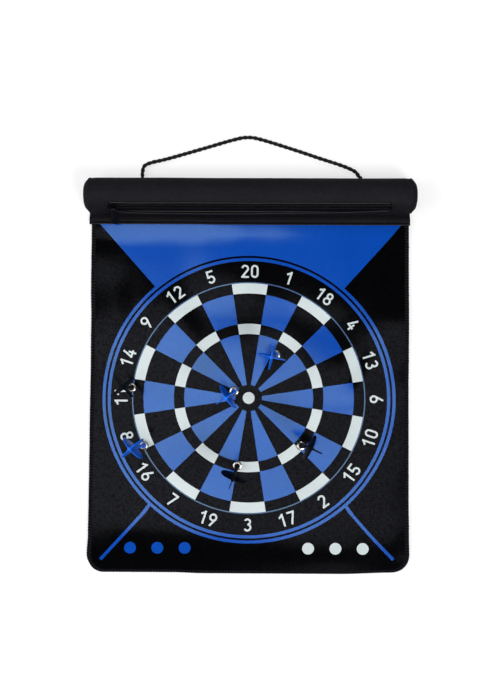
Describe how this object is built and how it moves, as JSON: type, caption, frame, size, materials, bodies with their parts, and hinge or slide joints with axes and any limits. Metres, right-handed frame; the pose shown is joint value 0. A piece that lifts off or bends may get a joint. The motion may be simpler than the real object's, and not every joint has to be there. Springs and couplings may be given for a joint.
{
  "type": "magnetic dartboard",
  "caption": "Roll-up magnetic dartboard: printed flexible mat sewn to a zipped header tube with a hanging cord, and magnetic darts that cling to the face.",
  "frame": {"origin": "under the middle of the bull, on the back plane of the mat", "axes": "+X to the right of the face, +Y towards the header tube and cord, +Z out of the printed face"},
  "size_m": [0.356, 0.4806, 0.0714],
  "materials": {
    "backing": "matt woven backing",
    "core": "matt flexible ferrous sheet",
    "vinyl_face": "satin vinyl",
    "blue_ink": "satin print",
    "white_ink": "satin print",
    "thread": "overlock thread",
    "leatherette": "fine grain, low sheen",
    "former": "plain sheet",
    "zip_tape": "woven tape",
    "zip_teeth": "moulded nylon",
    "zip_metal": "dark plated",
    "pull_tab": "black lacquer",
    "cord": "twisted yarn",
    "magnet": "nickel plate",
    "blue_plastic": "moulded",
    "black_plastic": "moulded"
  },
  "bodies": {
    "header": {"header_sleeve": "leatherette", "tube_former": "former", "end_panel_left": "leatherette", "end_panel_right": "leatherette", "zip_tape_upper": "zip_tape", "zip_tape_lower": "zip_tape", "zip_teeth_upper": "zip_teeth", "zip_teeth_lower": "zip_teeth", "zip_end_stops": "zip_metal", "eyelet_left": "zip_metal", "eyelet_right": "zip_metal", "cord_knot_left": "cord", "cord_knot_right": "cord", "hanging_cord": "cord"},
    "mat": {"backing_cloth": "backing", "magnetic_core": "core", "face_sheet": "vinyl_face", "blue_print": "blue_ink", "white_print": "white_ink", "numerals": "white_ink", "edge_overlock": "thread", "hem_binding": "leatherette"},
    "slider": {"zip_slider": "zip_metal"},
    "pull_tab": {"zip_pull_tab": "pull_tab"},
    "blue_dart_1": {"blue_dart_1_magnet": "magnet", "blue_dart_1_stem": "blue_plastic", "blue_dart_1_flight": "blue_plastic"},
    "blue_dart_2": {"blue_dart_2_magnet": "magnet", "blue_dart_2_stem": "blue_plastic", "blue_dart_2_flight": "blue_plastic"},
    "blue_dart_3": {"blue_dart_3_magnet": "magnet", "blue_dart_3_stem": "blue_plastic", "blue_dart_3_flight": "blue_plastic"},
    "black_dart_1": {"black_dart_1_magnet": "magnet", "black_dart_1_stem": "black_plastic", "black_dart_1_flight": "black_plastic"},
    "black_dart_2": {"black_dart_2_magnet": "magnet", "black_dart_2_stem": "black_plastic", "black_dart_2_flight": "black_plastic"},
    "black_dart_3": {"black_dart_3_magnet": "magnet", "black_dart_3_stem": "black_plastic", "black_dart_3_flight": "black_plastic"}
  },
  "joints": [
    {"name": "mat_fold", "type": "hinge", "parent": "header", "child": "mat", "pos_m": [0, 0.1995, 0.00155], "axis": [-1, 0, 0], "range_deg": [0, 40]},
    {"name": "zip_run", "type": "slide", "parent": "header", "child": "slider", "axis": [1, 0, 0], "range_m": [0, 0.2914]},
    {"name": "pull_swing", "type": "hinge", "parent": "slider", "child": "pull_tab", "pos_m": [-0.1457, 0.20248, 0.03423], "axis": [-1, 0, 0], "range_deg": [0, 195]},
    {"name": "blue_dart_1_lift", "type": "slide", "parent": "mat", "child": "blue_dart_1", "axis": [0, 0, 1], "range_m": [0, 0.12]},
    {"name": "blue_dart_2_lift", "type": "slide", "parent": "mat", "child": "blue_dart_2", "axis": [0, 0, 1], "range_m": [0, 0.12]},
    {"name": "blue_dart_3_lift", "type": "slide", "parent": "mat", "child": "blue_dart_3", "axis": [0, 0, 1], "range_m": [0, 0.12]},
    {"name": "black_dart_1_lift", "type": "slide", "parent": "mat", "child": "black_dart_1", "axis": [0, 0, 1], "range_m": [0, 0.12]},
    {"name": "black_dart_2_lift", "type": "slide", "parent": "mat", "child": "black_dart_2", "axis": [0, 0, 1], "range_m": [0, 0.12]},
    {"name": "black_dart_3_lift", "type": "slide", "parent": "mat", "child": "black_dart_3", "axis": [0, 0, 1], "range_m": [0, 0.12]}
  ]
}
